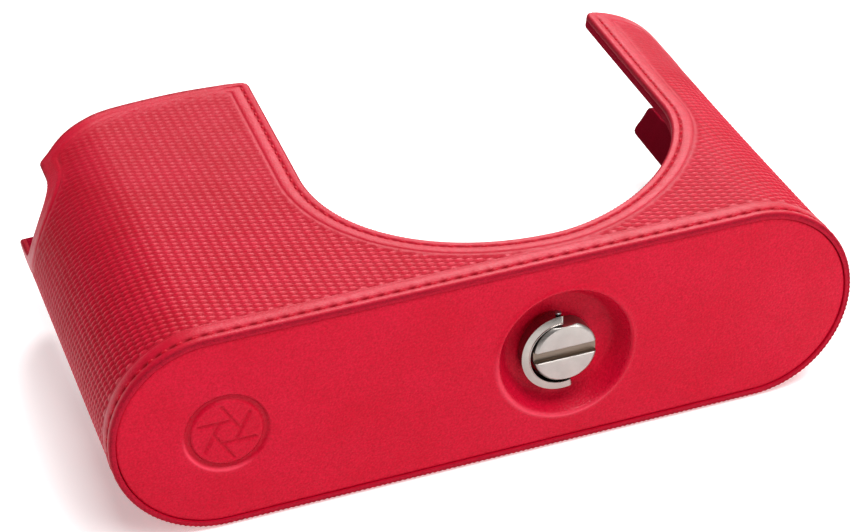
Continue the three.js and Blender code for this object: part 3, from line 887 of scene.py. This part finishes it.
def turned(rows, segments=96, centre=None, phase=None):
    """Points and quads turned about an upright axis, from rows of (radius, y)."""
    centre = SCREW if centre is None else centre
    turn = np.linspace(0, 2 * math.pi, segments, endpoint=False)
    cloud, faces = [], []
    for k, (radius, y) in enumerate(rows):
        r = np.full(segments, float(radius)) if phase is None else phase(radius, y, turn)
        cloud.append(np.c_[centre[0] + r * np.cos(turn), np.full(segments, y), centre[1] + r * np.sin(turn)])
        row = k * segments + np.r_[np.arange(segments), 0]
        if k:
            faces += strip(row - segments, row)
    return np.vstack(cloud), faces


def closed_ring_piece(node, rows, body, slot):
    """A turned piece with a hole: the rows' last meets their first."""
    points, faces = turned([*rows, rows[0]])
    make_object(node + "_turned", place(points), faces, body, slot, node, weld=1e-7)


def capped(rows, segments=96, **more):
    """A turned solid with flat ends."""
    points, faces = turned(rows, segments, **more)
    n = len(points)
    return points, [*faces, tuple(range(segments)), tuple(range(n - segments, n))]


def cutter(name, points, faces):
    """A temporary solid for a boolean cut."""
    mesh = bpy.data.meshes.new(name)
    mesh.from_pydata(place(points).tolist(), [], [tuple(map(int, f)) for f in faces])
    clean(mesh, 1e-7)
    obj = bpy.data.objects.new(name, mesh)
    bpy.context.scene.collection.objects.link(obj)
    return obj


def along_z(rows):
    """Round bar along Z on the bail's pivot line."""
    points, faces = capped(rows, segments=24, centre=(0.0, 0.0))
    x, y, z = points.T
    return np.c_[PIVOT_X + x, PIVOT_Y + z, SCREW[1] + y], faces


def pin_bores(reach):
    """Cutters for the two holes that take the bail's pins."""
    rows = [[(PIN_BORE_R, side * 4.0), (PIN_BORE_R, side * reach)] for side in (-1, 1)]
    return [cutter("bore", *along_z(ends)) for ends in rows]


def slab(low, high):
    """A box between two corners."""
    xs, ys, zs = zip(low, high)
    corners = np.array([(x, y, z) for x in xs for y in ys for z in zs])
    return corners, [(0, 1, 3, 2), (4, 6, 7, 5), (0, 4, 5, 1), (2, 3, 7, 6), (0, 2, 6, 4), (1, 5, 7, 3)]


def slot_tool():
    """The slot's cutter, flared at its mouth so that both edges of the slot are chamfered."""
    half = SLOT["wide"] / 2
    side = [(-half - 0.15, -2), (-half - 0.15, -0.01), (-half, 0.14), (-half, SLOT["deep"])]
    profile = side + [(-z, y) for z, y in reversed(side)]
    count = len(profile)
    points = [(SCREW[0] + x, y, SCREW[1] + z) for x in (-8, 8) for z, y in profile]
    faces = [(k, (k + 1) % count, count + (k + 1) % count, count + k) for k in range(count)]
    return np.array(points), [*faces, tuple(range(count))[::-1], tuple(range(count, 2 * count))]


def cut_and_bevel(obj, cutters, width):
    """Cuts the solids away from obj and softens the edges that this leaves."""
    for tool in cutters:
        cut = obj.modifiers.new("cut", "BOOLEAN")
        cut.object = tool
        cut.operation = "DIFFERENCE"
        cut.solver = "EXACT"
    bevel = obj.modifiers.new("bevel", "BEVEL")
    bevel.width = width * MM
    bevel.segments = 2
    bevel.limit_method = "ANGLE"
    bevel.angle_limit = math.radians(38)
    bevel.use_clamp_overlap = True
    graph = bpy.context.evaluated_depsgraph_get()
    finished = bpy.data.meshes.new_from_object(obj.evaluated_get(graph))
    obj.modifiers.clear()
    obj.data = finished
    obj.data.shade_smooth()
    obj.data.set_sharp_from_angle(angle=math.radians(35))
    for tool in cutters:
        bpy.data.objects.remove(tool)


def tripod_screw_piece():
    """The tripod screw: bevelled slotted head, plain neck and a true helical thread."""
    head = [(0.02, 0.0), (1.6, 0.0), (3.2, 0.0), (HEAD_R - 0.62, 0.0), (HEAD_R - 0.5, 0.03),
            (HEAD_R - 0.08, 0.40), (HEAD_R, 0.50), (HEAD_R, 1.2), (HEAD_R, HEAD_BOTTOM - 0.1),
            (HEAD_R - 0.1, HEAD_BOTTOM), (NECK_R + 0.08, HEAD_BOTTOM), (NECK_R, HEAD_BOTTOM + 0.08)]
    tip = HELIX_TIP
    thread_y = np.arange(HELIX_START, tip - 0.05, 0.09)
    shaft = [(NECK_R, 4.5), (NECK_R, 6.0), (NECK_R, HELIX_START - 0.1), *[(-1.0, y) for y in thread_y],
             (HELIX["root"] - 0.1, tip - 0.02), (HELIX["root"] - 0.4, tip), (0.02, tip)]

    def wave(radius, y, turn):
        if radius > 0:
            return np.full(len(turn), radius)
        phase = ((y - HELIX_START) / HELIX["pitch"] - turn / (2 * math.pi)) % 1.0
        ridge = np.clip(1.25 - np.abs(phase - 0.5) * 3.2, 0, 1)
        fade = min(1.0, (y - HELIX_START) / 0.5, (tip - y) / 0.7)
        return HELIX["root"] + (HELIX["crest"] - HELIX["root"]) * ridge * fade

    points, faces = capped([*head, *shaft], phase=wave)
    obj = make_object("tripod_screw_body", place(points), faces, "screw", "satin_nickel", "tripod_screw")
    tools = [cutter("slot", *slot_tool()), *pin_bores(8.0)]
    for side in (-1, 1):
        near, far = sorted((side * HEAD_FLAT, side * 8))
        corners = (SCREW[0] - 8, -2, SCREW[1] + near), (SCREW[0] + 8, HEAD_BOTTOM + 0.2, SCREW[1] + far)
        tools.append(cutter("flat", *slab(*corners)))
    cut_and_bevel(obj, tools, 0.07)


BAIL = dict(inner=5.5, outer=7.05, past_front=0.6, past_back=1.7)
PIN = dict(radius=0.4, inner=4.1, outer=7.35)


def bail_piece():
    """The C-shaped bail, folded round the head, its section a flat bar with rounded edges."""
    inner, outer = BAIL["inner"], BAIL["outer"]
    low, high = levels("screw_bail")
    section = []
    for (x, y), (sx, sy), radius in [((outer, low), (-1, 1), 0.3), ((outer, high), (-1, -1), 0.25),
                                     ((inner, high), (1, -1), 0.12), ((inner, low), (1, 1), 0.16)]:
        middle = np.array([x + sx * radius, y + sy * radius])
        start = math.atan2(0, -sx) if sx * sy < 0 else math.atan2(-sy, 0)
        for t in np.linspace(0, math.pi / 2, 5):
            section.append(middle + radius * np.array([math.cos(start + t), math.sin(start + t)]))
    section = np.array(section)
    middle = section.mean(axis=0)
    across = 0.5 * (inner + outer)
    first = math.acos(BAIL["past_front"] / across)
    last = 2 * math.pi - math.acos(BAIL["past_back"] / across)
    nose = 0.45
    rows = []
    for turn in [*(first + nose / across * np.array([0, 0.05, 0.2, 0.5])),
                 *np.linspace(first + nose / across, last - nose / across, 110),
                 *(last - nose / across * np.array([0.5, 0.2, 0.05, 0]))]:
        from_end = min(turn - first, last - turn) * across / nose
        full = math.sqrt(max(0.0, 1 - (1 - min(from_end, 1.0)) ** 2))
        ring = middle + (section - middle) * (0.7 + 0.3 * full)
        x, z = PIVOT_X + ring[:, 0] * math.cos(turn), SCREW[1] + ring[:, 0] * math.sin(turn)
        rows.append(np.c_[x, ring[:, 1], z])
    n = len(section)
    cloud = np.vstack(rows)
    faces = []
    for k in range(len(rows) - 1):
        low_row = k * n + np.r_[np.arange(n), 0]
        faces += strip(low_row, low_row + n)
    faces += [tuple(range(n)), tuple(range(len(cloud) - n, len(cloud)))]
    obj = make_object("screw_bail_ring", place(cloud), faces, "bail", "polished_nickel", "screw_bail")
    cut_and_bevel(obj, pin_bores(8.5), 0.05)


def screw_fittings():
    """The bail's pins, the sliding washer and the eyelet in the base panel."""
    rows = [(0.3, PIN["inner"]), (PIN["radius"], PIN["inner"] + 0.1), (PIN["radius"], 7.05), (0.58, 7.07),
            (0.62, 7.15), (0.58, 7.27), (0.4, PIN["outer"])]
    for side, name in ((1, "bail_pin_front"), (-1, "bail_pin_back")):
        points, faces = along_z([(radius, side * z) for radius, z in rows])
        make_object(name + "_turned", place(points), faces, "screw", "plate_steel", name)
    low, high = levels("screw_washer")
    rows = [(2.4, low + 0.05), (2.5, low), (4.5, low), (4.7, low + 0.1), (4.7, high - 0.1), (4.5, high),
            (2.5, high), (2.4, high - 0.05)]
    closed_ring_piece("screw_washer", rows, "screw_carrier", "nylon")
    low, high = levels("screw_eyelet")
    rows = [(2.95, low), (4.7, low), (4.86, low + 0.03), (4.9, low + 0.1), (4.86, low + 0.15),
            (3.6, low + 0.16), (3.5, low + 0.26), (3.5, high), (2.9, high), (2.9, low + 0.06)]
    closed_ring_piece("screw_eyelet", rows, "case", "eyelet_brass")


# ---------- materials

def srgb(*rgb):
    """Linear colour from 0 to 255 display values."""
    c = np.array(rgb) / 255
    return (*np.where(c <= 0.04045, c / 12.92, ((c + 0.055) / 1.055) ** 2.4), 1.0)


class Look:
    """A procedural material round one Principled shader."""

    def __init__(self, name, **sockets):
        self.material = bpy.data.materials.new(name)
        self.material.use_nodes = True
        self.tree = self.material.node_tree
        self.shader = self.tree.nodes["Principled BSDF"]
        for key, value in sockets.items():
            self.shader.inputs[key.replace("_", " ")].default_value = value
        self.place = self.add("ShaderNodeTexCoord").outputs["Object"]

    def add(self, kind, inputs=None, **settings):
        node = self.tree.nodes.new(kind)
        for key, value in settings.items():
            setattr(node, key, value)
        for key, value in (inputs or {}).items():
            self.feed(node.inputs[key], value)
        return node

    def feed(self, socket, value):
        if isinstance(value, bpy.types.NodeSocket):
            self.tree.links.new(value, socket)
        else:
            socket.default_value = value

    def noise(self, size, detail=3.0, rough=0.5):
        """Noise whose blobs are about size millimetres."""
        inputs = {"Vector": self.place, "Scale": 1 / (size * MM), "Detail": detail, "Roughness": rough}
        return self.add("ShaderNodeTexNoise", inputs).outputs["Fac"]

    def cells(self, size):
        """Distance to the middle of cells of about size millimetres."""
        inputs = {"Vector": self.place, "Scale": 1 / (size * MM)}
        return self.add("ShaderNodeTexVoronoi", inputs).outputs["Distance"]

    def math(self, operation, a, b):
        return self.add("ShaderNodeMath", {0: a, 1: b}, operation=operation).outputs[0]

    def fit(self, value, low, high, to_low=0.0, to_high=1.0):
        inputs = {"Value": value, "From Min": low, "From Max": high, "To Min": to_low, "To Max": to_high}
        return self.add("ShaderNodeMapRange", inputs).outputs["Result"]

    def mix(self, share, a, b):
        return self.add("ShaderNodeMix", {0: share, 6: a, 7: b}, data_type="RGBA").outputs[2]

    def mask(self, name):
        return self.add("ShaderNodeAttribute", attribute_name=name).outputs["Fac"]

    def bump(self, height, deep, strength=1.0, over=None):
        """Bump of a height map that spans deep millimetres."""
        inputs = {"Height": height, "Distance": deep * MM, "Strength": strength}
        if over is not None:
            inputs["Normal"] = over
        return self.add("ShaderNodeBump", inputs).outputs["Normal"]

    def finish(self, colour=None, roughness=None, normal=None):
        for key, value in (("Base Color", colour), ("Roughness", roughness), ("Normal", normal)):
            if value is not None:
                self.feed(self.shader.inputs[key], value)
        return self.material


LEATHER_RED = srgb(202, 7, 42)
LEATHER_DEEP = srgb(164, 0, 28)
LEATHER_PALE = srgb(210, 14, 52)
# Painted shade for the valleys of the pressed weave.
VALLEY_SHADE_RED = srgb(146, 0, 20)
# Painted highlight for the tops of the weave's pillows.
CROWN_HIGHLIGHT_RED = srgb(234, 52, 76)
# Painted highlight on the lower-left lip of the dish and edge of the emblem.
HIGHLIGHT_RED = srgb(244, 74, 98)
PAINT_RED = srgb(176, 6, 40)
STREAK_RED = srgb(134, 0, 26)
LINE_RED = srgb(92, 0, 14)
# Painted shade for stitch holes, seam channels and creases.
SHADE_RED = srgb(146, 0, 20)


def grained(look, fine=0.06):
    """Fine leather grain: tight cells broken up by noise, over soft unevenness."""
    grain = look.math("ADD", look.fit(look.cells(0.42), 0.0, 0.6), look.noise(0.22, 4.0, 0.6))
    return look.bump(look.noise(6.0, 2.0), 0.12, 0.5, over=look.bump(grain, fine, 0.55))


def edge_paint(look, under, coat_tone=PAINT_RED, worn_tone=STREAK_RED):
    """Painted cut edges: a full coat on the rim, a broken darker line where it laps onto the face."""
    coat = look.fit(look.mask("paint"), 0.0, 0.5)
    broken = look.fit(look.noise(1.1, 3.0), 0.35, 0.55)
    lap = look.math("MULTIPLY", look.fit(look.mask("paint"), 0.55, 0.95), broken)
    streaky = look.mix(look.fit(look.noise(0.3, 4.0, 0.7), 0.4, 0.7), coat_tone, worn_tone)
    return look.mix(lap, look.mix(coat, under, streaky), LINE_RED)


def embossed_leather():
    look = Look("embossed red leather", Specular_IOR_Level=0.24, Specular_Tint=(1.0, 0.72, 0.76, 1.0))
    tone = look.mix(look.fit(look.noise(9.0, 3.0), 0.35, 0.65), LEATHER_RED, LEATHER_PALE)
    speck = look.mix(look.fit(look.noise(0.5, 3.0, 0.7), 0.35, 0.7, 0.0, 0.5), tone, LEATHER_DEEP)
    # Painted shade: the valleys between the weave's pillows are mixed towards a darker red; the same mask
    # also makes them rougher.
    shaded_valley = look.math("MULTIPLY", look.mask("field"), look.fit(look.mask("pillow"), 0.1, 0.75, 1.0, 0.0))
    pressed = look.mix(look.math("MULTIPLY", shaded_valley, 0.7), speck, VALLEY_SHADE_RED)
    # Painted highlight: the tops of the pillows are mixed towards a paler pink red.
    crown_highlight = look.fit(look.mask("pillow"), 0.8, 0.97, 0.0, 0.65)
    woven = look.mix(crown_highlight, pressed, CROWN_HIGHLIGHT_RED)
    # Painted shade: stitch holes, seam channels and creases are mixed towards a dark red.
    sewn = look.mix(look.mask("dark"), woven, SHADE_RED)
    shine = look.fit(look.noise(1.5, 3.0), 0.3, 0.7, 0.38, 0.48)
    painted = look.fit(look.mask("paint"), 0.0, 0.5)
    dry = look.math("MAXIMUM", look.math("MAXIMUM", painted, look.mask("dark")), shaded_valley)
    dull = look.math("ADD", shine, look.math("MULTIPLY", dry, 0.4))
    return look.finish(edge_paint(look, sewn), dull, grained(look, 0.035))


def smooth_leather():
    look = Look("smooth red leather", Specular_IOR_Level=0.22, Specular_Tint=(1.0, 0.5, 0.55, 1.0))
    tone = look.mix(look.fit(look.noise(11.0, 3.0), 0.3, 0.7), LEATHER_RED, LEATHER_PALE)
    speck = look.mix(look.fit(look.noise(0.4, 4.0, 0.75), 0.35, 0.7, 0.0, 0.85), tone, LEATHER_DEEP)
    # Painted shade: the emblem's pressed lines are mixed towards a deeper red.
    pressed = look.mix(look.fit(look.mask("pressed"), 0.2, 1.0, 0.0, 0.7), speck, LEATHER_DEEP)
    # Painted highlight: the lower-left lip of the dish and the outer edge of the emblem are mixed towards a
    # pale pink.
    highlighted = look.mix(look.math("MULTIPLY", look.mask("painted_highlight"), 0.75), pressed, HIGHLIGHT_RED)
    shine = look.fit(look.noise(1.2, 3.0), 0.3, 0.7, 0.42, 0.54)
    rubbed = look.math("SUBTRACT", shine, look.math("MULTIPLY", look.mask("burnish"), 0.26))
    return look.finish(highlighted, rubbed, grained(look, 0.085))


def lining():
    look = Look("crimson suede", Specular_IOR_Level=0.02)
    tone = look.mix(look.fit(look.noise(5.0, 4.0), 0.3, 0.7), srgb(116, 0, 24), srgb(94, 0, 16))
    nap = look.mix(look.fit(look.noise(0.25, 4.0, 0.7), 0.3, 0.7), tone, srgb(132, 2, 30))
    painted = edge_paint(look, nap, srgb(158, 4, 38), srgb(124, 0, 26))
    shine = look.fit(look.noise(0.3, 2.0), 0, 1, 0.8, 0.95)
    return look.finish(painted, shine, look.bump(look.noise(0.18, 5.0, 0.7), 0.09, 0.8))


def thread():
    look = Look("red waxed thread", Specular_IOR_Level=0.16)
    tone = look.mix(look.noise(0.4, 2.0), srgb(206, 10, 42), srgb(178, 2, 30))
    shine = look.fit(look.noise(0.2, 3.0), 0, 1, 0.4, 0.6)
    return look.finish(tone, shine, look.bump(look.noise(0.08, 3.0), 0.03, 0.7))


def darkened(tint, share):
    return (*(c * share for c in tint[:3]), 1.0)


def metal(name, tint, rough, grain, deep=0.004, shaded_slot=False):
    """Metal with a soft finish: mottled roughness, a trace of tool marks, painted shade on the parts that lie
    deeper than the head's face and painted shade in the slot.
    """
    look = Look(name, Metallic=1.0)
    tone = look.mix(look.fit(look.noise(2.5, 4.0), 0.3, 0.7), tint, darkened(tint, 0.86))
    height = look.add("ShaderNodeSeparateXYZ", {0: look.place}).outputs["Y"]
    # Painted shade: from 0.35 mm deeper than the head's face, the metal is mixed towards a darker tint,
    # standing in for the shade and dark reflections on the sides of the head, bail and pins.
    shaded_low = look.fit(height, (BASE_Y + 0.35) * MM, (BASE_Y + 1.1) * MM)
    tone = look.mix(shaded_low, tone, darkened(tint, 0.55))
    # Painted shade: the inside of the screw's slot is mixed towards a dull brown.
    if shaded_slot:
        tone = look.mix(slot_mask(look), tone, srgb(130, 116, 104))
    shine = look.fit(look.noise(grain, 4.0, 0.6), 0.25, 0.75, rough * 0.85, rough * 1.2)
    return look.finish(tone, shine, look.bump(look.noise(grain * 0.4, 3.0), deep, 0.5))


def slot_mask(look):
    """One inside the screw's slot, from its place on the head."""
    place = look.add("ShaderNodeSeparateXYZ", {0: look.place}).outputs
    deep = look.fit(place["Y"], (BASE_Y + 0.06) * MM, (BASE_Y + 0.4) * MM)
    off = look.math("ABSOLUTE", look.math("SUBTRACT", place["Z"], SCREW[1] * MM), 0.0)
    floor = BASE_Y + SLOT["deep"]
    level = look.fit(place["Y"], (floor + 0.1) * MM, (floor + 0.3) * MM, 1.0, 0.0)
    near = look.fit(off, (SLOT["wide"] / 2 + 0.02) * MM, (SLOT["wide"] / 2 + 0.12) * MM, 1.0, 0.0)
    return look.math("MULTIPLY", look.math("MULTIPLY", deep, near), level)


def fibreboard(name, tint):
    look = Look(name, Specular_IOR_Level=0.2)
    tone = look.mix(look.noise(0.9, 5.0, 0.7), tint, darkened(tint, 0.7))
    shine = look.fit(look.noise(1.0), 0, 1, 0.8, 0.95)
    return look.finish(tone, shine, look.bump(look.noise(0.3, 4.0), 0.06, 0.8))


def nylon():
    look = Look("black nylon", Specular_IOR_Level=0.45)
    tone = look.mix(look.noise(0.6, 3.0), srgb(46, 46, 48), srgb(34, 34, 36))
    shine = look.fit(look.noise(0.8), 0, 1, 0.45, 0.6)
    return look.finish(tone, shine, look.bump(look.noise(0.15, 3.0), 0.01, 0.5))


def materials():
    """One material for each finish slot."""
    return {
        "embossed_leather": embossed_leather(),
        "smooth_leather": smooth_leather(),
        "lining": lining(),
        "thread": thread(),
        "fibreboard": fibreboard("grey fibreboard", srgb(150, 141, 128)),
        "pad": fibreboard("dark foam pad", srgb(92, 60, 62)),
        "plate_steel": metal("zinc-plated steel", srgb(176, 176, 178), 0.36, 0.8),
        "eyelet_brass": metal("eyelet brass", srgb(196, 160, 98), 0.3, 0.6),
        "nylon": nylon(),
        "satin_nickel": metal("satin nickel", srgb(184, 177, 172), 0.34, 0.25, deep=0.006, shaded_slot=True),
        "polished_nickel": metal("polished nickel", srgb(180, 172, 166), 0.2, 0.9),
    }


def dress(looks):
    """Gives every shown piece the material of its slot; nodes that stay CAD take theirs from the table below.
    """
    kept = {
        "front_stiffener": "fibreboard", "back_stiffener": "fibreboard", "base_board": "fibreboard",
        "base_pad": "pad", "screw_plate": "plate_steel", "plate_rivet_left": "plate_steel",
        "plate_rivet_right": "plate_steel",
    }
    for name, slot in kept.items():
        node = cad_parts[name]
        node.data.materials.clear()
        node.data.materials.append(looks[slot])
    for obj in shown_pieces():
        if "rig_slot" in obj:
            obj.data.materials.clear()
            obj.data.materials.append(looks[obj["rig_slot"]])


# ---------- stage

AIM = Vector((2.43, 39.83 + BASE_Y, 14.98)) * MM
VIEW = dict(azimuth=17.205, elevation=31.263, roll=-3.462, away=442.91, lens=103.447)


def camera():
    """The main view: from above and in front of the base."""
    turn, rise, roll = (math.radians(VIEW[key]) for key in ("azimuth", "elevation", "roll"))
    ahead = Vector((math.sin(turn) * math.cos(rise), math.cos(turn) * math.cos(rise), -math.sin(rise)))
    level = Vector((math.cos(turn), -math.sin(turn), 0))
    over = level.cross(ahead)
    right = level * math.cos(roll) + over * math.sin(roll)
    up = over * math.cos(roll) - level * math.sin(roll)
    data = bpy.data.cameras.new("camera")
    data.lens = VIEW["lens"]
    data.sensor_width = 36
    data.clip_start, data.clip_end = 0.02, 20
    eye = bpy.data.objects.new("camera", data)
    turned_to = Matrix((right, up, -ahead)).transposed().to_4x4()
    eye.matrix_world = Matrix.Translation(AIM - ahead * VIEW["away"] * MM) @ turned_to
    bpy.context.scene.collection.objects.link(eye)
    bpy.context.scene.camera = eye


def soft_box(name, at, size, power):
    data = bpy.data.lights.new(name, "AREA")
    data.shape = "RECTANGLE"
    data.size, data.size_y = size
    data.energy = power
    obj = bpy.data.objects.new(name, data)
    obj.location = at
    obj.rotation_mode = "QUATERNION"
    obj.rotation_quaternion = (AIM - Vector(at)).to_track_quat("-Z", "Y")
    bpy.context.scene.collection.objects.link(obj)


def studio():
    """Pale floor, white surroundings and broad soft boxes."""
    bm = bmesh.new()
    bmesh.ops.create_grid(bm, x_segments=8, y_segments=8, size=3.0)
    mesh = bpy.data.meshes.new("floor")
    bm.to_mesh(mesh)
    bm.free()
    floor = bpy.data.objects.new("floor", mesh)
    floor.location = (0, 0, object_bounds()[0].z - 0.0002)
    bpy.context.scene.collection.objects.link(floor)
    look = Look("white sweep", Specular_IOR_Level=0.25, Roughness=0.45, Emission_Strength=0.35)
    look.shader.inputs["Emission Color"].default_value = (1, 1, 1, 1)
    look.finish(look.mix(look.noise(400.0, 2.0), srgb(250, 250, 250), srgb(247, 247, 248)))
    floor.data.materials.append(look.material)
    floor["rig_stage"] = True
    world = bpy.data.worlds.new("studio")
    bpy.context.scene.world = world
    world.use_nodes = True
    sky = world.node_tree.nodes["Background"]
    sky.inputs["Color"].default_value = (1, 1, 1, 1)
    sky.inputs["Strength"].default_value = 0.16
    soft_box("key", (0.35, 0.75, 0.8), (0.5, 0.4), 7.8)
    soft_box("top", (0.1, -0.5, 1.1), (0.6, 0.5), 9.5)
    soft_box("back", (0.9, 1.4, 0.8), (1.2, 0.8), 8)
    soft_box("front", (0.85, -1.15, 0.62), (0.8, 0.6), 7.9)


def main():
    wall_leather_piece()
    wall_lining_piece()
    seam_pieces()
    base_leather_piece()
    base_lining_piece()
    tripod_screw_piece()
    bail_piece()
    screw_fittings()
    dress(materials())
    studio()
    camera()
    scene = bpy.context.scene
    scene.view_settings.view_transform = "Standard"
    scene.view_settings.look = "None"


main()
